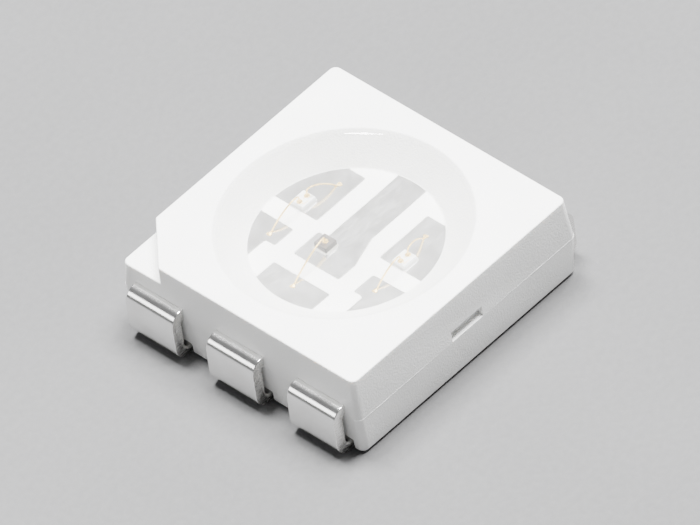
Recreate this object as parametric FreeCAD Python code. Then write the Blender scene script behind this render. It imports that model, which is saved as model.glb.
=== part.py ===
import FreeCAD, Part

# Surface-mount LED, 5 mm square, six leads, three colours. Millimetres, +Z up.
# The origin is on the board plane under the middle of the body: the feet stand on z = 0.
# The leads leave the body on the -X and +X sides. The cut corner, beside lead 1, is at -X +Y.

import math
import os

V = FreeCAD.Vector
smallest_gap = 1e-6  # points nearer than this are the same point

# Housing
body_width = 5.0  # along X, where the two mould halves meet
body_depth = 5.0  # along Y, where the two mould halves meet
overall_height = 1.6  # from the board to the top face
base_standoff = 0.05  # from the board to the underside of the base
draft_angle = 4.0  # degrees, on the sides above and below the mould line
corner_radius = 0.12  # upright corners
top_edge_chamfer = 0.04
notch_leg = 0.9  # cut corner, along each side
notch_depth = 0.32  # cut corner, below the top face

# Reflector cup
rim_diameter = 4.1
floor_diameter = 3.12
cup_depth = 0.6  # from the top face to the floor, where the lands lie flush
rim_chamfer = 0.04

# Leads, stamped and bent from one sheet
sheet = 0.2
stamped_radius = 0.05  # corners of the lands
lead_width = 1.0
lead_pitch = 1.7
bend_radius = 0.05  # inside radius where a lead turns down
foot_bend_radius = 0.1  # inside radius where it turns under
foot_length = 1.0  # along X, from the outside of the lead
foot_tip_radius = 0.12  # corners of the foot, seen from below
lock_size = 0.12  # V-shaped bites that key each lead into the plastic
lock_inset = 0.3  # from the mould line to the bites
neck_inset = 0.75  # from the mould line to where a lead takes the shape of its land

# Lands on the cup floor, measured from its middle: along X to where each ends and to its shoulder,
# along Y to its inner edge and to the edge of its neck
land_1_end = 0.32
land_1_shoulder = 0.76
land_1_edge = 0.82
land_1_neck = 1.02
land_3_end = 0.30
land_3_shoulder = 0.76
land_3_edge = 0.84
land_3_neck = 1.04
land_4_end = 0.03
land_4_shoulder = 1.15
land_4_edge = 0.66
land_4_neck = 1.25
land_6_end = 0.03
land_6_shoulder = 1.17
land_6_edge = 0.66
land_6_neck = 1.25
land_bevel = 0.35  # slant of each corner land's far corner, under the wall
land_2_end = 1.02
land_2_width = 1.20
land_5_reach = 0.71  # how far the middle land passes the centre
land_5_head_width = 0.97
land_5_head_length = 0.59  # on the +Y side of the bar, to a square shoulder
land_5_heel_length = 0.39  # on its -Y side, to a slanted shoulder
land_5_slant = 0.57  # of that shoulder, along X
land_5_bar_width = 0.60

# Feet pockets, gate mark and side pockets of the housing
foot_clearance = 0.05  # round each foot, in its pocket
foot_headroom = 0.04  # above each foot
gate_diameter = 1.0
gate_depth = 0.1
gate_stub_diameter = 0.3
gate_stub_height = 0.06
side_pocket_width = 0.7  # where the frame's support bars held the body
side_pocket_depth = 0.12

# Chips: sizes along X, Y and Z
die_green_size = (0.30, 0.26, 0.12)
die_blue_size = (0.30, 0.26, 0.12)
die_red_size = (0.26, 0.26, 0.18)
die_inset = 0.18  # from the ends of lands 4 and 6 to the middles of the green and the blue chip
die_green_wall_gap = 0.46  # from the cup floor's edge to the chip's middle, along Y
die_blue_wall_gap = 0.52
die_red_inset = 0.43  # from the end of land 5 to the middle of the red chip
die_red_shift = 0.18  # of the red chip's middle, along Y
contact_spacing = 0.17  # between the two contacts of the green and the blue chip
attach_thickness = 0.02
attach_margin = 0.03  # of the adhesive round a chip

# Bond wires
wire_diameter = 0.03
wire_cover = 0.08  # clear resin above the tops of the loops
wire_kink = 0.06  # along the wire, and down, from where it stops rising to the top of its loop
ball_diameter = 0.09
ball_height = 0.03
neck_height = 0.03
stitch_diameter = 0.1
stitch_top_diameter = 0.07
stitch_height = 0.035
stitch_wall_gap = 0.33  # from the cup floor's edge to the middle of each stitch
stitch_1_angle = 120  # degrees round the cup, anticlockwise from +X
stitch_2_angle = 180
stitch_3_angle = 244
stitch_4_angle = 310
stitch_6_angle = 48

# Clear resin
fill_gap = 0.06  # from the top face down to the resin's edge
fill_sag = 0.06  # how much lower its middle is

# Worked out from the above
frame_top = overall_height - cup_depth
mould_line = frame_top - sheet
lead_outside = body_width / 2 + bend_radius + sheet
tab_inner = lead_pitch - lead_width / 2
tab_outer = lead_pitch + lead_width / 2
neck = body_width / 2 - neck_inset
die_z = frame_top + attach_thickness
die_green_x = land_6_end + die_inset
die_green_y = floor_diameter / 2 - die_green_wall_gap
die_blue_x = land_4_end + die_inset
die_blue_y = die_blue_wall_gap - floor_diameter / 2
die_red_x = die_red_inset - land_5_reach
fill_edge = overall_height - fill_gap
loop_top = fill_edge - fill_sag - wire_cover


def arc_corner(before, corner, after, radius):
    """Where a rounded corner starts, its middle and where it ends."""
    a = (before - corner).normalize()
    b = (after - corner).normalize()
    half = a.getAngle(b) / 2
    reach = radius / math.tan(half)
    middle = corner + (a + b).normalize() * (radius / math.sin(half) - radius)
    return corner + a * reach, middle, corner + b * reach


def rounded_outline(points, radii):
    """A closed wire with an arc of its own radius at each corner; radius 0 stays sharp."""
    corners = []
    for i, point in enumerate(points):
        following = points[(i + 1) % len(points)]
        rounded = radii[i] > 0
        corners.append(arc_corner(points[i - 1], point, following, radii[i]) if rounded else [point])
    edges = []
    for i, corner in enumerate(corners):
        if len(corner) > 1:
            edges.append(Part.Arc(*corner).toShape())
        following = corners[(i + 1) % len(corners)][0]
        if corner[-1].distanceToPoint(following) > smallest_gap:
            edges.append(Part.LineSegment(corner[-1], following).toShape())
    return Part.Wire(edges)


def prism(points, radii, along):
    """A solid from a rounded outline, pushed along a vector."""
    return Part.Face(rounded_outline(points, radii)).extrude(along)


def plate(outline, bottom, thickness):
    """An upright solid with sharp corners, from an outline of (x, y) pairs."""
    points = [V(x, y, bottom) for x, y in outline]
    return prism(points, [0] * len(points), V(0, 0, thickness))


def rectangle(width, depth, z, radius):
    """A rounded rectangle round the Z axis, as a wire."""
    x, y = width / 2, depth / 2
    points = [V(-x, -y, z), V(x, -y, z), V(x, y, z), V(-x, y, z)]
    return rounded_outline(points, [radius] * 4)


def block(size, centre, bottom):
    """A box of size (x, y, z) centred on (x, y), standing at the height bottom."""
    corner = V(centre[0] - size[0] / 2, centre[1] - size[1] / 2, bottom)
    return Part.makeBox(*size, corner)


def body_section(z, inset):
    """The body's outline at the height z, drafted away from the mould line and then inset."""
    lean = abs(z - mould_line) * math.tan(math.radians(draft_angle)) + inset
    return rectangle(body_width - 2 * lean, body_depth - 2 * lean, z, corner_radius)


def cup_radius(z):
    """Radius of the reflector cup's wall at the height z."""
    share = (z - frame_top) / cup_depth
    return (floor_diameter + share * (rim_diameter - floor_diameter)) / 2


def corner_outline(end, shoulder, edge, neck_edge):
    """Outline of a corner lead's flat part: outwards along X, outwards along Y, corner radius."""
    side = body_width / 2
    return [
        (side, tab_inner, 0),
        (neck, tab_inner, 0),
        (neck, neck_edge, 0),
        (shoulder, neck_edge, stamped_radius),
        (shoulder, edge, stamped_radius),
        (end, edge, stamped_radius),
        (end, tab_outer - land_bevel, 0),
        (end + land_bevel, tab_outer, 0),
        (side, tab_outer, 0),
    ]


def middle_left_outline():
    """Outline of lead 2's flat part, whose land is a plain short bar across its end."""
    side = body_width / 2
    half = lead_width / 2
    land_half = land_2_width / 2
    return [
        (side, -half, 0),
        (neck, -half, 0),
        (neck, -land_half, 0),
        (land_2_end, -land_half, stamped_radius),
        (land_2_end, land_half, stamped_radius),
        (neck, land_half, 0),
        (neck, half, 0),
        (side, half, 0),
    ]


def middle_right_outline():
    """Outline of lead 5's flat part: a bar across the cup that ends in a wider head."""
    side = body_width / 2
    half = lead_width / 2
    bar_half = land_5_bar_width / 2
    head_half = land_5_head_width / 2
    head_end = land_5_head_length - land_5_reach
    heel_end = land_5_heel_length - land_5_reach
    return [
        (side, -half, 0),
        (neck, -half, 0),
        (neck, -bar_half, 0),
        (heel_end + land_5_slant, -bar_half, 0),
        (heel_end, -head_half, 0),
        (-land_5_reach, -head_half, stamped_radius),
        (-land_5_reach, head_half, stamped_radius),
        (head_end, head_half, stamped_radius),
        (head_end, bar_half, stamped_radius),
        (neck, bar_half, 0),
        (neck, half, 0),
        (side, half, 0),
    ]


def lead_flat(outline, side_x, row):
    """The flat part of a lead, from its land to the mould line, with the two bites that key it in."""
    points = [V(side_x * u, v, mould_line) for u, v, radius in outline]
    flat = prism(points, [radius for u, v, radius in outline], V(0, 0, sheet))
    x = side_x * (body_width / 2 - lock_inset)
    for edge in (row - lead_width / 2, row + lead_width / 2):
        bite = [(x - lock_size, edge), (x, edge - lock_size), (x + lock_size, edge), (x, edge + lock_size)]
        flat = flat.cut(plate(bite, mould_line, sheet))
    return flat


def lead_tail(side_x, row):
    """The bent part of a lead: out of the side, down and under the body."""
    side = body_width / 2
    inside = lead_outside - sheet
    tip = lead_outside - foot_length
    profile = [
        (side, frame_top, 0),
        (lead_outside, frame_top, bend_radius + sheet),
        (lead_outside, 0, foot_bend_radius + sheet),
        (tip, 0, 0),
        (tip, sheet, 0),
        (inside, sheet, foot_bend_radius),
        (inside, mould_line, bend_radius),
        (side, mould_line, 0),
    ]
    low = row - lead_width / 2
    points = [V(side_x * u, low, z) for u, z, radius in profile]
    radii = [radius for u, z, radius in profile]
    tail = prism(points, radii, V(0, lead_width, 0))
    corners = [e for e in tail.Edges if is_upright(e) and abs(abs(e.CenterOfMass.x) - tip) < smallest_gap]
    return tail.makeFillet(foot_tip_radius, corners)


def is_upright(edge):
    """Whether an edge is a straight line along Z."""
    ends = edge.Vertexes
    return len(ends) == 2 and math.hypot(ends[0].X - ends[1].X, ends[0].Y - ends[1].Y) < smallest_gap


def lead(outline, side_x, row):
    """One whole lead: flat part and bent tail in one piece."""
    return lead_flat(outline, side_x, row).fuse(lead_tail(side_x, row)).removeSplitter()


def make_leads():
    """The six leads, numbered anticlockwise from the cut corner as seen from above."""
    corner = {
        "lead_1": (-1, 1, corner_outline(land_1_end, land_1_shoulder, land_1_edge, land_1_neck)),
        "lead_3": (-1, -1, corner_outline(land_3_end, land_3_shoulder, land_3_edge, land_3_neck)),
        "lead_4": (1, -1, corner_outline(land_4_end, land_4_shoulder, land_4_edge, land_4_neck)),
        "lead_6": (1, 1, corner_outline(land_6_end, land_6_shoulder, land_6_edge, land_6_neck)),
    }
    leads = {
        "lead_2": lead(middle_left_outline(), -1, 0),
        "lead_5": lead(middle_right_outline(), 1, 0),
    }
    for name, (side_x, side_y, outline) in corner.items():
        placed = [(u, side_y * v, radius) for u, v, radius in outline]
        leads[name] = lead(placed, side_x, side_y * lead_pitch)
    return leads


def outer_body():
    """The two drafted mould halves, with the top edge broken."""
    shoulder = overall_height - top_edge_chamfer
    bottom = body_section(base_standoff, 0)
    middle = body_section(mould_line, 0)
    top = body_section(shoulder, 0)
    face = body_section(overall_height, top_edge_chamfer)
    lower = Part.makeLoft([bottom, middle], True, True)
    upper = Part.makeLoft([middle, top], True, True)
    edge = Part.makeLoft([top, face], True, True)
    return lower.fuse([upper, edge])


def cup_space():
    """The space of the round reflector cup, from its floor through the top face."""
    return Part.makeCone(floor_diameter / 2, rim_diameter / 2, cup_depth, V(0, 0, frame_top))


def corner_notch():
    """The triangular step that marks the corner beside lead 1."""
    x, y = -body_width / 2, body_depth / 2
    over = notch_leg / 2
    outline = [
        (x - over, y + over),
        (x - over, y - notch_leg - over),
        (x + notch_leg + over, y + over),
    ]
    return plate(outline, overall_height - notch_depth, notch_depth + over)


def foot_pocket(side_x, row):
    """The recess under the body that one foot folds into."""
    inner = lead_outside - foot_length - foot_clearance
    length = body_width / 2 - inner + foot_clearance
    width = lead_width + 2 * foot_clearance
    size = (length, width, sheet + foot_headroom)
    return block(size, (side_x * (inner + length / 2), row), 0)


def gate_mark():
    """The shallow round dimple under the body where the plastic was injected, less its stub."""
    dimple = Part.makeCylinder(gate_diameter / 2, gate_depth, V(0, 0, base_standoff))
    top = base_standoff + gate_depth
    stub = Part.makeCylinder(gate_stub_diameter / 2, gate_stub_height, V(0, 0, top - gate_stub_height))
    return dimple.cut(stub)


def side_pocket(side_y):
    """The small recess that a support bar of the lead frame leaves in a plain side."""
    size = (side_pocket_width, 2 * side_pocket_depth, sheet)
    return block(size, (0, side_y * body_depth / 2), mould_line)


def make_housing(leads):
    """The moulded body: drafted block, cup, cut corner, pockets, and the room that the leads take."""
    body = outer_body().cut(cup_space())
    rim = [e for e in body.Edges if is_rim(e)]
    body = body.makeChamfer(rim_chamfer, rim)
    cuts = [corner_notch(), gate_mark(), side_pocket(1), side_pocket(-1)]
    for side_x in (-1, 1):
        for row in (-lead_pitch, 0, lead_pitch):
            cuts.append(foot_pocket(side_x, row))
    return body.cut(cuts).cut(list(leads.values())).removeSplitter()


def is_rim(edge):
    """Whether an edge is the circle where the cup meets the top face."""
    if not isinstance(edge.Curve, Part.Circle):
        return False
    return abs(edge.Curve.Radius - rim_diameter / 2) < smallest_gap


def make_die(size, place):
    """One chip on its adhesive."""
    return block(size, place, die_z)


def make_attach(size, place):
    """The thin pad of cured adhesive under a chip."""
    pad = (size[0] + 2 * attach_margin, size[1] + 2 * attach_margin, attach_thickness)
    return block(pad, place, frame_top)


def turned(profile, base):
    """A solid turned round an upright axis through base, from a profile of (radius, height)."""
    points = [base + V(r, 0, h) for r, h in profile]
    wire = Part.makePolygon(points + [points[0]])
    return Part.Face(wire).revolve(base, V(0, 0, 1), 360)


def stitch_place(angle):
    """Where a stitch lies on the cup floor, at an angle in degrees."""
    radius = floor_diameter / 2 - stitch_wall_gap
    return radius * math.cos(math.radians(angle)), radius * math.sin(math.radians(angle))


def make_wire(start, chip_top, stitch):
    """A bond wire: ball on the chip's contact, kinked loop, flattened stitch on the land."""
    radius = wire_diameter / 2
    ball_radius = ball_diameter / 2
    ball_top = ball_height + neck_height
    ball_profile = [(0, 0), (ball_radius, 0), (ball_radius, ball_height), (radius, ball_top), (0, ball_top)]
    ball = turned(ball_profile, V(start[0], start[1], chip_top))
    foot = Part.makeCone(
        stitch_diameter / 2, stitch_top_diameter / 2, stitch_height, V(stitch[0], stitch[1], frame_top)
    )
    along = (V(stitch[0], stitch[1], 0) - V(start[0], start[1], 0)).normalize()
    neck_top = V(start[0], start[1], chip_top + ball_top)
    shoulder = V(start[0], start[1], loop_top - wire_kink)
    crest = V(start[0], start[1], loop_top) + along * wire_kink
    landing = V(stitch[0], stitch[1], frame_top + stitch_height / 2)
    path = Part.makePolygon([neck_top, shoulder, crest, landing])
    section = Part.Wire(Part.makeCircle(radius, neck_top, V(0, 0, 1)))
    tube = path.makePipeShell([section], True, False, 1)
    return ball.fuse([tube, foot]).removeSplitter()


def make_resin(inside):
    """The clear resin: it fills the cup to a dished surface and closes round what is inside."""
    start = V(0, 0, frame_top)
    corner = V(floor_diameter / 2, 0, frame_top)
    edge = V(cup_radius(fill_edge), 0, fill_edge)
    middle = V(0, 0, fill_edge - fill_sag)
    sphere = (edge.x**2 + fill_sag**2) / (2 * fill_sag)
    half_x = edge.x / 2
    half_z = middle.z + sphere - math.sqrt(sphere**2 - half_x**2)
    surface = Part.Arc(edge, V(half_x, 0, half_z), middle).toShape()
    sides = [
        Part.LineSegment(start, corner).toShape(),
        Part.LineSegment(corner, edge).toShape(),
        surface,
        Part.LineSegment(middle, start).toShape(),
    ]
    full = Part.Face(Part.Wire(sides)).revolve(V(0, 0, 0), V(0, 0, 1), 360)
    return full.cut(inside)


def make_inside():
    """The chips, their adhesive and the bond wires."""
    made = {}
    dice = {
        "green": (die_green_size, (die_green_x, die_green_y)),
        "blue": (die_blue_size, (die_blue_x, die_blue_y)),
        "red": (die_red_size, (die_red_x, die_red_shift)),
    }
    for colour, (size, place) in dice.items():
        made["die_" + colour] = make_die(size, place)
        made["die_attach_" + colour] = make_attach(size, place)
    half = contact_spacing / 2
    wires = {
        "wire_green_1": ("green", -half, stitch_1_angle),
        "wire_green_2": ("green", half, stitch_6_angle),
        "wire_blue_1": ("blue", -half, stitch_3_angle),
        "wire_blue_2": ("blue", half, stitch_4_angle),
        "wire_red": ("red", 0, stitch_2_angle),
    }
    for name, (colour, shift, angle) in wires.items():
        size, place = dice[colour]
        start = (place[0] + shift, place[1])
        made[name] = make_wire(start, die_z + size[2], stitch_place(angle))
    return made


os.makedirs("parts", exist_ok=True)
leads = make_leads()
inside = make_inside()
nodes = dict(leads)
nodes["housing"] = make_housing(leads)
nodes.update(inside)
nodes["encapsulant"] = make_resin(list(inside.values()))
for name, shape in nodes.items():
    if len(shape.Solids) != 1:
        print(name, "has", len(shape.Solids), "solids")
    shape.Solids[0].exportStep("parts/" + name + ".step")
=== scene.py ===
import math

import bmesh
import bpy
from mathutils import Matrix, Vector


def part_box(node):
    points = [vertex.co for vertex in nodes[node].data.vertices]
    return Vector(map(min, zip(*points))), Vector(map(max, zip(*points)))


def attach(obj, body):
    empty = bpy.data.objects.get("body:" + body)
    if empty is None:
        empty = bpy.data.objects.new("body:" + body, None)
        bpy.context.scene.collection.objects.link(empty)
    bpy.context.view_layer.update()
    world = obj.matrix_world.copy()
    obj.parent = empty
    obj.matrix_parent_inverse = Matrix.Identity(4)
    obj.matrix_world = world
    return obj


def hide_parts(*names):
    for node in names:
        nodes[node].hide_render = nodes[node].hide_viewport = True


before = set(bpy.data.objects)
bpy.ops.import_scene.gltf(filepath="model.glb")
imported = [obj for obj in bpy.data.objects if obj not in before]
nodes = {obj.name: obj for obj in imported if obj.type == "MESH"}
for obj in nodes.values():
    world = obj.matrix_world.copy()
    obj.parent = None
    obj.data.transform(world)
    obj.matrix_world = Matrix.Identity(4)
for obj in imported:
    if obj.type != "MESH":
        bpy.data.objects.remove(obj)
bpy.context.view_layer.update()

# Meshes are drawn in millimetres, in the model's own frame, and turned into metres at the end.
MM = 0.001
same_height = 0.001  # heights nearer than this are the same


def node_box(name):
    """A CAD node's lowest and highest corners, in millimetres."""
    low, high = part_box(name)
    return low / MM, high / MM


def reach_at(name, z):
    """How far a CAD node's corners at one height lie from the Z axis, in millimetres."""
    points = [v.co / MM for v in nodes[name].data.vertices]
    return max(math.hypot(p.x, p.y) for p in points if abs(p.z - z) < same_height)


# The housing and the cup, from the frame
housing_low, housing_high = node_box("housing")
fill_low, fill_high = node_box("encapsulant")
body_half = housing_high.y
base = housing_low.z
top = housing_high.z
floor_z = fill_low.z
fill_edge = fill_high.z
floor_radius = reach_at("encapsulant", floor_z)
wall_slope = (reach_at("encapsulant", fill_edge) - floor_radius) / (fill_edge - floor_z)
rim_radius = floor_radius + wall_slope * (top - floor_z)

# The rest of the model's sizes that the pieces follow
sheet = 0.2
mould_line = floor_z - sheet
draft = math.tan(math.radians(4))
corner_radius = 0.12
notch_leg = 0.9
notch_depth = 0.32
lead_pitch = 1.7
lead_width = 1.0
lead_rows = (-lead_pitch, 0.0, lead_pitch)
lead_numbers = range(1, 7)
foot_tip = 1.75  # from the YZ plane to the end of a foot
foot_clearance = 0.05
foot_headroom = 0.04
gate_radius = 0.5
gate_roof = 0.15  # from the board to the roof of the gate's dimple
stub_radius = 0.13
stub_end = 0.09  # from the board to the end of the gate's stub
bar_half = 0.35  # half the width of the recess of a support bar
bar_depth = 0.12
fill_sag = 0.06  # how far the resin's surface dips in the middle
loop_top = 1.4  # from the board to the top of the wires' loops
stitch_radius = floor_radius - 0.33  # from the cup's axis to the middle of a stitch
contact_shift = 0.085  # from a chip's middle to each of its two contacts
wire_radius = 0.015

# Fine detail that only the visible pieces have
flash = 0.005  # how far the fine ridge on the mould line stands proud
flash_half = 0.005  # half its height
side_zone = 2.36  # points further out than this are on the body's sides
low_zone = 0.3  # points lower than this are on the base or in its pockets
cup_zone = floor_z + 0.1  # points higher than this are on the top face or its edges
outside_all = 2.6  # further out than any side of the body


def arc(centre, radius, start, end, steps):
    """Points of an arc in a plane, angles in degrees."""
    points = []
    for k in range(steps + 1):
        angle = math.radians(start + (end - start) * k / steps)
        points.append((centre[0] + radius * math.cos(angle), centre[1] + radius * math.sin(angle)))
    return points


def rounded_loop(half_x, half_y, radius, z, centre=(0, 0), steps=10):
    """A rounded rectangle at the height z, anticlockwise."""
    loop = []
    for quarter, (sx, sy) in enumerate(((1, 1), (-1, 1), (-1, -1), (1, -1))):
        middle = (centre[0] + sx * (half_x - radius), centre[1] + sy * (half_y - radius))
        for x, y in arc(middle, radius, quarter * 90, quarter * 90 + 90, steps):
            loop.append(Vector((x, y, z)))
    return loop


def loft(bm, loops, material=0):
    """Skins a row of loops that have equal numbers of points, and closes both ends."""
    rings = [[bm.verts.new(p) for p in loop] for loop in loops]
    count = len(rings[0])
    made = []
    for low, high in zip(rings, rings[1:]):
        for k in range(count):
            n = (k + 1) % count
            made.append(bm.faces.new((low[k], low[n], high[n], high[k])))
    made.append(bm.faces.new(list(reversed(rings[0]))))
    made.append(bm.faces.new(rings[-1]))
    for face in made:
        face.material_index = material


def lathe(bm, profile, steps, centre=(0, 0), material=0):
    """Turns a profile of (radius, z) round an upright axis."""
    rings = []
    for radius, z in profile:
        count = steps if radius > 0 else 1
        rings.append([
            bm.verts.new((
                centre[0] + radius * math.cos(2 * math.pi * k / steps),
                centre[1] + radius * math.sin(2 * math.pi * k / steps),
                z,
            ))
            for k in range(count)
        ])
    for low, high in zip(rings, rings[1:]):
        for k in range(steps):
            n = k + 1
            ring = (low[k % len(low)], low[n % len(low)], high[n % len(high)], high[k % len(high)])
            face = bm.faces.new(list(dict.fromkeys(ring)))
            face.material_index = material


def box_mesh(low, high):
    """A plain box between two corners, used only to cut with."""
    x0, y0, z0 = low
    x1, y1, z1 = high
    return prism_mesh([(x0, y0), (x1, y0), (x1, y1), (x0, y1)], z0, z1)


def prism_mesh(outline, z0, z1):
    """An upright prism, used only to cut with."""
    bm = bmesh.new()
    loft(bm, [[Vector((x, y, z)) for x, y in outline] for z in (z0, z1)])
    return bm


def cad_copy(name):
    """A welded copy of a CAD node's mesh in millimetres, flat faces joined up."""
    bm = bmesh.new()
    bm.from_mesh(nodes[name].data)
    bmesh.ops.scale(bm, vec=(1 / MM,) * 3, verts=bm.verts)
    bmesh.ops.remove_doubles(bm, verts=bm.verts, dist=0.0005)
    bmesh.ops.dissolve_limit(bm, angle_limit=math.radians(1), verts=bm.verts, edges=bm.edges)
    bmesh.ops.recalc_face_normals(bm, faces=bm.faces)
    return bm


def sharp_edges(bm, limit, inside=lambda edge: True):
    """Edges where two faces meet at more than a number of degrees."""
    return [
        e for e in bm.edges
        if len(e.link_faces) == 2 and e.calc_face_angle(0) > math.radians(limit) and inside(e)
    ]


def round_edges(bm, edges, width, steps):
    """Rounds edges a little."""
    if edges:
        bmesh.ops.bevel(
            bm, geom=edges, offset=width, offset_type="OFFSET", segments=steps,
            profile=0.5, affect="EDGES", clamp_overlap=True,
        )


def temporary(bm, name):
    """A mesh object that is only used in a boolean."""
    bmesh.ops.recalc_face_normals(bm, faces=bm.faces)
    mesh = bpy.data.meshes.new(name)
    bm.to_mesh(mesh)
    bm.free()
    obj = bpy.data.objects.new(name, mesh)
    bpy.context.scene.collection.objects.link(obj)
    return obj


def remove(obj):
    """Takes a temporary object and its mesh away."""
    mesh = obj.data
    bpy.data.objects.remove(obj)
    bpy.data.meshes.remove(mesh)


def carve(bm, cutters):
    """Cuts meshes out of a mesh, one after the other."""
    body = temporary(bm, "carved")
    for cutter in cutters:
        tool = temporary(cutter, "cutter")
        change = body.modifiers.new("cut", "BOOLEAN")
        change.operation = "DIFFERENCE"
        change.solver = "EXACT"
        change.object = tool
        depsgraph = bpy.context.evaluated_depsgraph_get()
        cut = bpy.data.meshes.new_from_object(body.evaluated_get(depsgraph))
        body.modifiers.clear()
        old = body.data
        body.data = cut
        bpy.data.meshes.remove(old)
        remove(tool)
    result = bmesh.new()
    result.from_mesh(body.data)
    remove(body)
    bmesh.ops.remove_doubles(result, verts=result.verts, dist=0.0004)
    bmesh.ops.dissolve_limit(
        result, angle_limit=math.radians(0.6), verts=result.verts, edges=result.edges
    )
    return result


def make_piece(name, bm, materials, replaced, angle=35, weighted=True):
    """Turns a mesh in millimetres into a piece of the model that stands for a CAD node."""
    bmesh.ops.recalc_face_normals(bm, faces=bm.faces)
    mesh = bpy.data.meshes.new(name)
    bm.to_mesh(mesh)
    bm.free()
    mesh.transform(Matrix.Scale(MM, 4))
    for material in materials:
        mesh.materials.append(material)
    obj = bpy.data.objects.new(name, mesh)
    bpy.context.scene.collection.objects.link(obj)
    mesh.shade_smooth()
    mesh.set_sharp_from_angle(angle=math.radians(angle))
    if weighted:
        normals = obj.modifiers.new("normals", "WEIGHTED_NORMAL")
        normals.keep_sharp = True
        normals.weight = 80
    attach(obj, "root")
    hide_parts(replaced)


class Look:
    """A material under construction: its node tree and a few short ways to add to it."""

    def __init__(self, name):
        self.material = bpy.data.materials.new(name)
        self.material.use_nodes = True
        self.tree = self.material.node_tree
        self.shader = self.tree.nodes["Principled BSDF"]
        self.place = self.add("ShaderNodeTexCoord").outputs["Object"]

    def add(self, kind, **settings):
        """A new node with its settings."""
        node = self.tree.nodes.new(kind)
        for key, value in settings.items():
            setattr(node, key, value)
        return node

    def join(self, output, node, key):
        """Links an output to a node's input."""
        self.tree.links.new(output, node.inputs[key])

    def shade(self, key, output):
        """Links an output to one of the shader's own inputs."""
        self.join(output, self.shader, key)

    def fixed(self, **values):
        """Sets plain numbers and colours on the shader's own sockets."""
        for key, value in values.items():
            self.shader.inputs[key.replace("_", " ")].default_value = value

    def grain(self, size_mm, detail=3.0, stretch=(1, 1, 1)):
        """Noise with features about size_mm across, longer along an axis whose stretch is over 1."""
        mapping = self.add("ShaderNodeMapping")
        self.join(self.place, mapping, "Vector")
        mapping.inputs["Scale"].default_value = [1 / (size_mm * MM * s) for s in stretch]
        noise = self.add("ShaderNodeTexNoise")
        self.join(mapping.outputs["Vector"], noise, "Vector")
        noise.inputs["Scale"].default_value = 1.0
        noise.inputs["Detail"].default_value = detail
        return noise.outputs["Fac"]

    def spread(self, value, low, high, from_low=0.3, from_high=0.7):
        """A value put into another range."""
        node = self.add("ShaderNodeMapRange")
        self.join(value, node, "Value")
        node.inputs["From Min"].default_value = from_low
        node.inputs["From Max"].default_value = from_high
        node.inputs["To Min"].default_value = low
        node.inputs["To Max"].default_value = high
        return node.outputs["Result"]

    def blend(self, share, first, second):
        """A colour between two colours or colour outputs."""
        node = self.add("ShaderNodeMix", data_type="RGBA")
        self.join(share, node, "Factor")
        for key, value in ((6, first), (7, second)):
            if isinstance(value, tuple):
                node.inputs[key].default_value = (*value, 1)
            else:
                self.join(value, node, key)
        return node.outputs[2]

    def maths(self, operation, first, second):
        """A sum, product or other operation on two numbers or outputs."""
        node = self.add("ShaderNodeMath", operation=operation)
        for key, value in enumerate((first, second)):
            if isinstance(value, (int, float)):
                node.inputs[key].default_value = value
            else:
                self.join(value, node, key)
        return node.outputs["Value"]

    def bumps(self, *layers):
        """Bumps of (height output, height in millimetres), one over the other."""
        before = None
        for height, depth_mm in layers:
            bump = self.add("ShaderNodeBump")
            bump.inputs["Strength"].default_value = 1.0
            bump.inputs["Distance"].default_value = depth_mm * MM
            self.join(height, bump, "Height")
            if before is not None:
                self.join(before, bump, "Normal")
            before = bump.outputs["Normal"]
        self.shade("Normal", before)

    def facing(self, axis):
        """How much a face looks along an axis, either way, from 0 to 1."""
        split = self.add("ShaderNodeSeparateXYZ")
        self.join(self.add("ShaderNodeNewGeometry").outputs["True Normal"], split, "Vector")
        return self.maths("ABSOLUTE", split.outputs[axis], 0.0)


def white_plastic():
    """Filled white moulding compound: fine eroded texture, faint flow marks, a soft glow."""
    look = Look("white_plastic")
    broad = look.grain(0.9, 2.0)
    fine = look.grain(0.03, 3.0)
    fibres = look.grain(0.02, 2.0, (7, 1, 1))
    colour = look.blend(look.spread(broad, 0, 1), (0.83, 0.83, 0.815), (0.87, 0.87, 0.86))
    specks = look.spread(look.grain(0.045, 1.0), 0, 1, 0.68, 0.74)
    colour = look.blend(look.maths("MULTIPLY", specks, 0.25), colour, (0.74, 0.735, 0.72))
    look.shade("Base Color", colour)
    look.shade("Roughness", look.spread(fine, 0.42, 0.6))
    look.bumps((fine, 0.009), (fibres, 0.003), (broad, 0.012))
    look.fixed(IOR=1.5, Subsurface_Weight=0.25, Subsurface_Scale=0.00008)
    look.fixed(Subsurface_Radius=(1.0, 0.95, 0.9))
    return look.material


def plating():
    """Silver-plated copper sheet: rolled grain on its faces, torn streaks on its sheared edges."""
    look = Look("silver_plating")
    rolled = look.grain(0.012, 2.0, (14, 1, 1))
    cloud = look.grain(0.35, 3.0)
    pits = look.grain(0.02, 2.0)
    torn = look.grain(0.014, 3.0, (1, 1, 12))
    sheared = look.spread(look.facing("Y"), 0, 1, 0.55, 0.8)
    colour = look.blend(look.spread(cloud, 0, 1), (0.80, 0.795, 0.78), (0.87, 0.868, 0.86))
    colour = look.blend(look.maths("MULTIPLY", sheared, 0.5), colour, (0.78, 0.765, 0.74))
    look.shade("Base Color", colour)
    smooth = look.maths("ADD", look.spread(rolled, 0.11, 0.15), look.spread(cloud, -0.008, 0.012))
    rough = look.maths("ADD", smooth, look.maths("MULTIPLY", sheared, 0.14))
    look.shade("Roughness", rough)
    look.bumps((rolled, 0.0005), (pits, 0.0003), (look.maths("MULTIPLY", torn, sheared), 0.004))
    look.fixed(Metallic=1.0)
    return look.material


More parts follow.
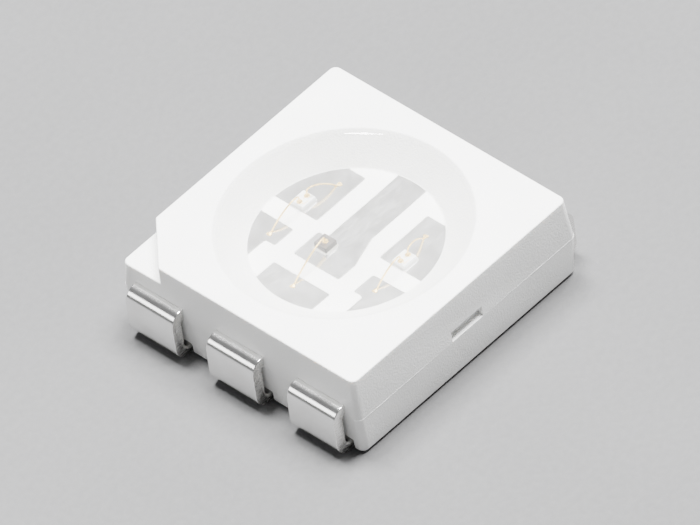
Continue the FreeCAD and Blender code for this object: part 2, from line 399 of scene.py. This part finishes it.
def resin():
    """Clear cast silicone. Lamps and diffuse light pass straight to what lies in it."""
    look = Look("clear_resin")
    ripple = look.grain(0.7, 1.0)
    haze = look.grain(0.05, 2.0)
    look.shade("Roughness", look.spread(haze, 0.015, 0.045))
    tint = look.blend(look.spread(ripple, 0, 1), (0.985, 0.985, 0.98), (1.0, 1.0, 1.0))
    look.shade("Base Color", tint)
    look.bumps((ripple, 0.006))
    look.fixed(IOR=1.46, Transmission_Weight=1.0)
    rays = look.add("ShaderNodeLightPath")
    passing = look.maths("MAXIMUM", rays.outputs["Is Shadow Ray"], rays.outputs["Is Diffuse Ray"])
    clear = look.add("ShaderNodeBsdfTransparent")
    clear.inputs["Color"].default_value = (0.985, 0.985, 0.98, 1)
    mix = look.add("ShaderNodeMixShader")
    look.join(passing, mix, 0)
    look.join(look.shader.outputs["BSDF"], mix, 1)
    look.join(clear.outputs["BSDF"], mix, 2)
    look.join(mix.outputs["Shader"], look.tree.nodes["Material Output"], "Surface")
    return look.material


def gold():
    """Bright gold of the bond wires and contacts, with a faint fine grain."""
    look = Look("bright_gold")
    drawn = look.grain(0.006, 2.0)
    colour = look.blend(look.spread(drawn, 0, 1), (0.93, 0.68, 0.30), (1.0, 0.78, 0.40))
    look.shade("Base Color", colour)
    look.shade("Roughness", look.spread(drawn, 0.16, 0.28))
    look.bumps((drawn, 0.0004))
    look.fixed(Metallic=1.0)
    return look.material


def crystal(name, low, high):
    """Sawn body of a chip: glassy and slightly cloudy, rougher on its sawn sides."""
    look = Look(name)
    cloud = look.grain(0.06, 3.0)
    sawn = look.grain(0.008, 2.0, (1, 1, 6))
    sides = look.spread(look.facing("Z"), 1, 0, 0.3, 0.7)
    look.shade("Base Color", look.blend(look.spread(cloud, 0, 1), low, high))
    rough = look.maths("ADD", look.spread(cloud, 0.08, 0.16), look.maths("MULTIPLY", sides, 0.3))
    look.shade("Roughness", rough)
    look.bumps((look.maths("MULTIPLY", sawn, sides), 0.003), (cloud, 0.0004))
    look.fixed(IOR=1.77, Coat_Weight=0.3, Coat_Roughness=0.08)
    return look.material


def mesa(name, low, high):
    """The active top layer of a chip under its clear contact film."""
    look = Look(name)
    film = look.grain(0.05, 2.0)
    look.shade("Base Color", look.blend(look.spread(film, 0, 1), low, high))
    look.shade("Roughness", look.spread(film, 0.06, 0.12))
    look.bumps((look.grain(0.006, 2.0), 0.0006))
    look.fixed(IOR=2.0, Coat_Weight=0.5, Coat_Roughness=0.05)
    return look.material


def adhesive(name, low, high, metallic, clear):
    """Cured chip adhesive, with a slightly uneven glossy skin."""
    look = Look(name)
    lumps = look.grain(0.03, 3.0)
    look.shade("Base Color", look.blend(look.spread(lumps, 0, 1), low, high))
    look.shade("Roughness", look.spread(lumps, 0.25, 0.45))
    look.bumps((lumps, 0.003))
    look.fixed(Metallic=metallic, Transmission_Weight=clear, IOR=1.5)
    return look.material


def floor_look():
    """Plain pale studio board."""
    look = Look("studio_floor")
    broad = look.grain(6.0, 2.0)
    tooth = look.grain(0.12, 3.0)
    colour = look.blend(look.spread(broad, 0, 1), (0.102, 0.102, 0.1035), (0.114, 0.114, 0.1155))
    look.shade("Base Color", colour)
    look.shade("Roughness", look.spread(tooth, 0.62, 0.8))
    look.bumps((tooth, 0.012))
    look.fixed(IOR=1.4)
    return look.material


def lead_cutter(name):
    """The room that a lead takes in the plastic, with a hair of clearance above and below it."""
    bm = cad_copy(name)
    clearance = 0.004
    for vert in bm.verts:
        if abs(vert.co.z - mould_line) < same_height:
            vert.co.z -= clearance
        elif abs(vert.co.z - floor_z) < same_height:
            vert.co.z += clearance
    return bm


def body_loop(z):
    """The housing's outline at a height, drafted away from the mould line."""
    half = body_half - flash - abs(z - mould_line) * draft
    return rounded_loop(half, half, corner_radius, z)


def cup_cutter():
    """The room of the reflector cup, with a small fillet at the foot of its wall."""
    bm = bmesh.new()
    over = 0.3
    foot = 0.03  # size of the fillet
    foot_steps = 4
    profile = [(0, floor_z)]
    for k in range(foot_steps + 1):
        share = k / foot_steps
        radius = floor_radius - foot * (1 - share) ** 2
        profile.append((radius + wall_slope * foot * share**2, floor_z + foot * share**2))
    profile.append((rim_radius + wall_slope * over, top + over))
    profile.append((0, top + over))
    lathe(bm, profile, steps=144)
    return bm


def notch_cutter():
    """The triangular step at the corner by lead 1."""
    over = notch_leg / 2
    x, y = -body_half - over, body_half + over
    reach = notch_leg + 2 * over
    return prism_mesh([(x, y), (x, y - reach), (x + reach, y)], top - notch_depth, top + over)


def gate_cutter():
    """The dimple of the injection gate round its sheared stub."""
    bm = bmesh.new()
    slant = 0.04
    slope = 0.03
    profile = [
        (0, 0), (gate_radius, 0), (gate_radius, gate_roof - slope), (gate_radius - slant, gate_roof),
        (stub_radius + slope, gate_roof), (stub_radius, stub_end), (0, stub_end),
    ]
    lathe(bm, profile, steps=64)
    return bm


def foot_cutter(side, row):
    """The pocket under the body for one foot."""
    x0, x1 = sorted((side * (foot_tip - foot_clearance), side * outside_all))
    half = lead_width / 2 + foot_clearance
    return box_mesh((x0, row - half, 0.0), (x1, row + half, sheet + foot_headroom))


def side_cutter(side):
    """The recess that a support bar leaves in a plain side."""
    over = 0.1
    play = 0.002
    y0, y1 = sorted((side * (body_half - bar_depth), side * (body_half + over)))
    return box_mesh((-bar_half, y0, mould_line + play), (bar_half, y1, floor_z - play))


def flash_runs():
    """Rows of points on the mould line between the leads and the recesses of the support bars."""
    loop = body_loop(mould_line)
    cuts = 12  # points to each edge of the outline
    gap = 0.02  # to a lead or a recess
    near_side = body_half - 0.05
    runs = []
    run = []
    for k in range(len(loop) * cuts + 1):
        a = loop[(k // cuts) % len(loop)]
        b = loop[(k // cuts + 1) % len(loop)]
        point = a.lerp(b, (k % cuts) / cuts)
        if abs(point.x) > near_side:
            blocked = any(abs(point.y - row) < lead_width / 2 + gap for row in lead_rows)
        else:
            blocked = abs(point.x) < bar_half + gap
        if not blocked:
            run.append(point)
            continue
        if len(run) > 2:
            runs.append(run)
        run = []
    if len(run) > 2:
        runs.append(run)
    return runs


def flash_ridges(bm):
    """The hair-fine ridge that the mould halves leave, thinner at its ends and a little uneven."""
    root = 0.006  # how deep it reaches into the body
    crest = flash_half * 0.3
    for run in flash_runs():
        sections = []
        last = len(run) - 1
        for i, point in enumerate(run):
            ahead = run[min(i + 1, last)] - run[max(i - 1, 0)]
            out = Vector((ahead.y, -ahead.x, 0)).normalized()
            taper = min(1.0, 0.25 + 0.25 * min(i, last - i))
            uneven = 0.8 + 0.2 * math.sin(point.x * 7 + point.y * 9)
            proud = flash * taper * uneven
            sections.append([
                point - out * root + Vector((0, 0, -flash_half)),
                point + out * proud * 0.9 + Vector((0, 0, -crest)),
                point + out * proud + Vector((0, 0, crest)),
                point - out * root + Vector((0, 0, flash_half)),
            ])
        loft(bm, sections)


def make_housing(material):
    """The moulded body: drafted halves, cup, cut corner, foot pockets, gate mark, side recesses."""
    bm = bmesh.new()
    loft(bm, [body_loop(base), body_loop(mould_line), body_loop(top)])
    cutters = [cup_cutter(), notch_cutter(), gate_cutter(), side_cutter(1), side_cutter(-1)]
    for side in (-1, 1):
        for row in lead_rows:
            cutters.append(foot_cutter(side, row))
    for number in lead_numbers:
        cutters.append(lead_cutter(f"lead_{number}"))
    bm = carve(bm, cutters)

    def upper(edge):
        return all(v.co.z > cup_zone for v in edge.verts)

    def waist(edge):
        low, high = mould_line - 0.1, floor_z + 0.05
        return all(
            max(abs(v.co.x), abs(v.co.y)) > side_zone and low < v.co.z < high for v in edge.verts
        )

    def lower(edge):
        return all(v.co.z < low_zone for v in edge.verts)

    def on_floor(edge):
        return all(
            abs(v.co.z - floor_z) < same_height
            and math.hypot(v.co.x, v.co.y) < floor_radius - 0.04
            for v in edge.verts
        )

    # each rounding: degrees over which an edge is sharp, where it lies, width, steps
    for limit, zone, width, steps in (
        (30, upper, 0.04, 4), (40, waist, 0.018, 2), (40, lower, 0.02, 2), (40, on_floor, 0.006, 1),
    ):
        round_edges(bm, sharp_edges(bm, limit, zone), width, steps)
    flash_ridges(bm)
    make_piece("moulded_housing", bm, [material], "housing")


def make_lead(number, material):
    """A stamped and bent lead with the soft edges of plating."""
    rounding = 0.014
    outer_part = body_half - 0.2
    half = lead_width / 2 - 0.02
    bm = cad_copy(f"lead_{number}")
    round_edges(bm, sharp_edges(bm, 30), rounding, 2)
    # edges beside the roundings keep the reflections on the bends straight
    for row in lead_rows:
        for y in (row - half, row + half):
            outer = [f for f in bm.faces if all(abs(v.co.x) > outer_part for v in f.verts)]
            edges = dict.fromkeys(e for f in outer for e in f.edges)
            verts = dict.fromkeys(v for f in outer for v in f.verts)
            geometry = [*outer, *edges, *verts]
            bmesh.ops.bisect_plane(bm, geom=geometry, plane_co=(0, y, 0), plane_no=(0, 1, 0))
    make_piece(f"plated_lead_{number}", bm, [material], f"lead_{number}")


def make_resin_fill(material):
    """The clear fill, with a dished surface that climbs the wall a little."""
    bm = bmesh.new()
    overlap = 0.005
    under = floor_z - 0.02
    meniscus = 0.015
    climb_length = 0.05
    wall_steps = 12
    surface_steps = 40

    def wall(z):
        """The fill's radius at a height, a hair more than the cup's."""
        return floor_radius + wall_slope * (z - floor_z) + overlap

    profile = [(0, under), (floor_radius * 0.7, under)]
    for k in range(wall_steps):
        z = under + (fill_edge - under) * k / wall_steps
        profile.append((wall(z), z))
    middle = fill_edge - fill_sag - meniscus
    for k in range(surface_steps):
        share = 1 - k / surface_steps
        radius = wall(fill_edge) * share
        climb = meniscus * math.exp((radius - wall(fill_edge)) / climb_length)
        profile.append((radius, middle + fill_sag * share**2 + climb))
    profile.append((0, middle))
    lathe(bm, profile, steps=160)
    make_piece(
        "clear_fill", bm, [material], "encapsulant", angle=60, weighted=False
    )


def plan(node):
    """A CAD node's middle and half sizes seen from above, and its lowest and highest height."""
    low, high = node_box(node)
    middle = ((low.x + high.x) / 2, (low.y + high.y) / 2)
    return middle, (high.x - low.x) / 2, (high.y - low.y) / 2, low.z, high.z


def make_chip(colour, body, active, metal, contacts):
    """One chip: sawn body, raised active layer and its metal contacts."""
    middle, half_x, half_y, chip_base, chip_top = plan(f"die_{colour}")
    bm = bmesh.new()
    shoulder = chip_top - 0.006
    ledge = 0.012  # of the body round its active layer

    # each ring: how far it is set in from the chip's box, and its height
    body_rings = (
        (0.004, chip_base), (0.0, chip_base + 0.012), (0.003, chip_base + 0.05),
        (0.004, shoulder - 0.012), (0.006, shoulder - 0.003), (0.009, shoulder),
    )
    active_rings = (
        (ledge, shoulder - 0.001), (ledge, chip_top - 0.002), (ledge + 0.002, chip_top - 0.0005),
    )
    for material, rings, radius in ((0, body_rings, 0.01), (1, active_rings, 0.012)):
        loops = [
            rounded_loop(half_x - i, half_y - i, radius, z, middle, steps=3) for i, z in rings
        ]
        loft(bm, loops, material)

    pad_radius = 0.05
    pad = [
        (0, chip_top - 0.002), (pad_radius, chip_top - 0.002), (pad_radius, chip_top + 0.001),
        (pad_radius - 0.002, chip_top + 0.002), (0, chip_top + 0.002),
    ]
    for x in contacts:
        lathe(bm, pad, 32, (middle[0] + x, middle[1]), material=2)

    def strip(x0, x1, y0, y1):
        """A narrow strip of metal that reaches from a contact over the active layer."""
        centre = (middle[0] + (x0 + x1) / 2, middle[1] + (y0 + y1) / 2)
        foot = rounded_loop((x1 - x0) / 2, (y1 - y0) / 2, 0.003, chip_top - 0.001, centre, 2)
        loft(bm, [foot, [p + Vector((0, 0, 0.0022)) for p in foot]], material=2)

    if len(contacts) > 1:
        lane = 0.09
        finger = 0.1
        half = 0.004
        left, right = contacts
        strip(left - half, left + half, -lane, lane)
        strip(right - finger, right, -half, half)
        for y in (-lane, lane):
            strip(left, left + finger, y - half, y + half)
    materials = [body, active, metal]
    make_piece(f"chip_{colour}", bm, materials, f"die_{colour}", angle=30)


def make_adhesive(colour, material):
    """The adhesive pad with a fillet that climbs the chip's foot and spreads unevenly."""
    middle, pad_x, pad_y, pad_base, pad_top = plan(f"die_attach_{colour}")
    _, chip_x, chip_y, chip_base, _ = plan(f"die_{colour}")
    phase = middle[1] - pad_y  # makes the pads' outlines differ
    lift = 0.002
    tuck = 0.004
    climb = 0.02
    outer_corner = 0.06
    inner_corner = 0.015
    steps = 8
    bm = bmesh.new()
    loops = []
    for k in range(steps + 1):
        share = k / steps
        half_x = pad_x + (chip_x - tuck - pad_x) * share
        half_y = pad_y + (chip_y - tuck - pad_y) * share
        rise = (pad_top - pad_base - lift) * math.sin(share * math.pi / 2)
        z = pad_base + lift + rise + climb * share**3
        corner = outer_corner + (inner_corner - outer_corner) * share
        loop = rounded_loop(half_x, half_y, corner, z, middle, steps=5)
        for p in loop:
            angle = math.atan2(p.y - middle[1], p.x - middle[0])
            wave = 0.006 * math.sin(3 * angle + phase) + 0.004 * math.sin(5 * angle + 1)
            p.x += wave * (1 - share) * math.cos(angle)
            p.y += wave * (1 - share) * math.sin(angle)
        loops.append(loop)
    foot = [Vector((p.x, p.y, pad_base)) for p in loops[0]]
    inner = [Vector((p.x, p.y, chip_base + 0.001)) for p in loops[-1]]
    loft(bm, [foot, *loops, inner])
    make_piece(f"adhesive_{colour}", bm, [material], f"die_attach_{colour}", angle=50)


def bezier(a, b, c, d, steps):
    """Points of a cubic curve, without its first point."""
    points = []
    for k in range(1, steps + 1):
        t = k / steps
        s = 1 - t
        points.append(a * s**3 + b * (3 * s * s * t) + c * (3 * s * t * t) + d * t**3)
    return points


# The ball and neck of a wire: radius of each ring and its height over the chip
BALL = (
    (0.036, 0.0005), (0.042, 0.003), (0.045, 0.009), (0.045, 0.018), (0.042, 0.025),
    (0.034, 0.030), (0.025, 0.033), (0.0195, 0.037), (0.0165, 0.044), (wire_radius, 0.056),
)

# The stitch of a wire: share of its length, half width and half thickness of each ring
STITCH = (
    (0.2, 0.021, 0.0115), (0.4, 0.032, 0.009), (0.6, 0.042, 0.007), (0.78, 0.047, 0.0055),
    (0.9, 0.042, 0.004), (0.97, 0.028, 0.0025), (1.0, 0.012, 0.0015),
)
STITCH_LENGTH = 0.1


def wire_line(span, chip_top):
    """The middle line of a wire from its neck over its loop to its landing, seen from the side."""
    neck = Vector((0, chip_top + BALL[-1][1]))
    crest = Vector((0.085, loop_top - wire_radius))
    landing = Vector((span - 0.055, floor_z + 0.0135))
    rise = crest.y - neck.y
    drop = crest.y - landing.y
    up = bezier(neck, neck + Vector((0, rise * 0.75)), crest - Vector((0.06, 0)), crest, 14)
    leave = crest + Vector((span * 0.34, 0))
    arrive = landing + Vector((-span * 0.16, drop * 0.42))
    return [neck, *up, *bezier(crest, leave, arrive, landing, 26)]


def make_wire(name, colour, shift, angle, material):
    """A gold bond wire: squashed ball and neck, rising loop, and a flattened stitch on the land.
    It starts on a chip, at a shift along X from its middle, and ends at an angle round the cup."""
    middle, _, _, _, chip_top = plan(f"die_{colour}")
    start = Vector((middle[0] + shift, middle[1], 0))
    turn = math.radians(angle)
    stitch = Vector((stitch_radius * math.cos(turn), stitch_radius * math.sin(turn), 0))
    flat = stitch - start
    along = flat.normalized()
    side = Vector((-along.y, along.x, 0))

    # each ring: distance along, height, half width, half thickness, lean of the ring from level
    rings = [(0, chip_top + z, radius, radius, 0.0) for radius, z in BALL]
    line = wire_line(flat.length, chip_top)
    for i in range(1, len(line)):
        ahead = line[min(i + 1, len(line) - 1)] - line[i - 1]
        rings.append((line[i].x, line[i].y, wire_radius, wire_radius, math.atan2(ahead.x, ahead.y)))
    landing = line[-1]
    last_lean = rings[-1][4]
    for share, width, thick in STITCH:
        lean = last_lean + (math.pi / 2 - last_lean) * min(1, share * 2)
        height = floor_z + thick + 0.0005
        rings.append((landing.x + STITCH_LENGTH * share, height, width, thick, lean))

    bm = bmesh.new()
    loops = []
    around = 16
    turns = [2 * math.pi * k / around for k in range(around)]
    for u, z, width, thick, lean in rings:
        centre = start + along * u + Vector((0, 0, z))
        across = along * math.cos(lean) - Vector((0, 0, 1)) * math.sin(lean)
        loops.append([
            centre + side * (width * math.sin(t)) + across * (thick * math.cos(t)) for t in turns
        ])
    loft(bm, loops)
    make_piece(f"bond_{name}", bm, [material], name, angle=60, weighted=False)


def make_camera():
    """A long lens from the photograph's direction, close enough to show the one part."""
    azimuth = math.radians(-41)
    elevation = math.radians(45.5)
    roll = math.radians(-8.9)
    distance = 0.33
    target = Vector((0, 0, 0.00072))
    back = Vector((
        math.sin(azimuth) * math.cos(elevation),
        -math.cos(azimuth) * math.cos(elevation),
        math.sin(elevation),
    ))
    camera = bpy.data.cameras.new("camera")
    camera.sensor_width = 36
    camera.lens = 1100
    camera.clip_start = 0.02
    camera.clip_end = 10
    obj = bpy.data.objects.new("camera", camera)
    obj.location = target + back * distance
    obj.rotation_mode = "QUATERNION"
    turn = (-back).to_track_quat("-Z", "Y")
    obj.rotation_quaternion = turn @ Matrix.Rotation(roll, 4, "Z").to_quaternion()
    bpy.context.scene.collection.objects.link(obj)
    bpy.context.scene.camera = obj


def make_lamp(name, direction, distance, size, power):
    """A square soft light that faces the part, its distance and size in metres."""
    lamp = bpy.data.lights.new(name, "AREA")
    lamp.shape = "SQUARE"
    lamp.size = size
    lamp.energy = power
    obj = bpy.data.objects.new(name, lamp)
    towards = Vector(direction).normalized()
    obj.location = towards * distance
    obj.rotation_mode = "QUATERNION"
    obj.rotation_quaternion = (-towards).to_track_quat("-Z", "Y")
    bpy.context.scene.collection.objects.link(obj)


def make_floor():
    """A pale board under the part, in metres."""
    half = 0.9
    corner = 0.1
    thickness = 0.004
    bm = bmesh.new()
    loft(bm, [rounded_loop(half, half, corner, z, steps=6) for z in (0.0, -thickness)])
    bmesh.ops.recalc_face_normals(bm, faces=bm.faces)
    mesh = bpy.data.meshes.new("floor")
    bm.to_mesh(mesh)
    bm.free()
    mesh.materials.append(floor_look())
    ground = bpy.data.objects.new("floor", mesh)
    bpy.context.scene.collection.objects.link(ground)


def make_lights():
    """Two soft lights from above, two weak ones that show the metal, and a dim even surround."""
    make_lamp("key_light", (0.33, -0.06, 0.94), 0.45, 0.2, 11.0)
    make_lamp("second_light", (0.05, 0.26, 0.96), 0.45, 0.12, 7.5)
    make_lamp("rim_light", (-0.70, 0.54, 0.46), 0.6, 0.2, 0.7)
    make_lamp("back_light", (0.46, 0.53, 0.71), 0.6, 0.35, 0.4)
    world = bpy.data.worlds.new("surround")
    world.use_nodes = True
    background = world.node_tree.nodes["Background"]
    background.inputs["Color"].default_value = (0.95, 0.96, 0.97, 1)
    background.inputs["Strength"].default_value = 0.25
    bpy.context.scene.world = world


make_camera()
make_floor()
make_lights()

make_housing(white_plastic())
silver = plating()
for number in lead_numbers:
    make_lead(number, silver)

gold_look = gold()
pale = crystal("pale_crystal", (0.82, 0.84, 0.85), (0.92, 0.94, 0.95))
pale_top = mesa("pale_active_layer", (0.80, 0.83, 0.83), (0.90, 0.92, 0.91))
dark = crystal("dark_crystal", (0.07, 0.068, 0.066), (0.12, 0.115, 0.11))
dark_top = mesa("dark_active_layer", (0.12, 0.112, 0.108), (0.18, 0.17, 0.165))
two_contacts = (-contact_shift, contact_shift)
make_chip("green", pale, pale_top, gold_look, two_contacts)
make_chip("blue", pale, pale_top, gold_look, two_contacts)
make_chip("red", dark, dark_top, gold_look, (0.0,))
clear_glue = adhesive("clear_adhesive", (0.86, 0.86, 0.84), (0.93, 0.93, 0.91), 0.0, 0.35)
silver_glue = adhesive("silver_adhesive", (0.52, 0.51, 0.49), (0.70, 0.69, 0.67), 0.7, 0.0)
make_adhesive("green", clear_glue)
make_adhesive("blue", clear_glue)
make_adhesive("red", silver_glue)

make_wire("wire_green_1", "green", -contact_shift, 120, gold_look)
make_wire("wire_green_2", "green", contact_shift, 48, gold_look)
make_wire("wire_blue_1", "blue", -contact_shift, 244, gold_look)
make_wire("wire_blue_2", "blue", contact_shift, 310, gold_look)
make_wire("wire_red", "red", 0.0, 180, gold_look)
make_resin_fill(resin())
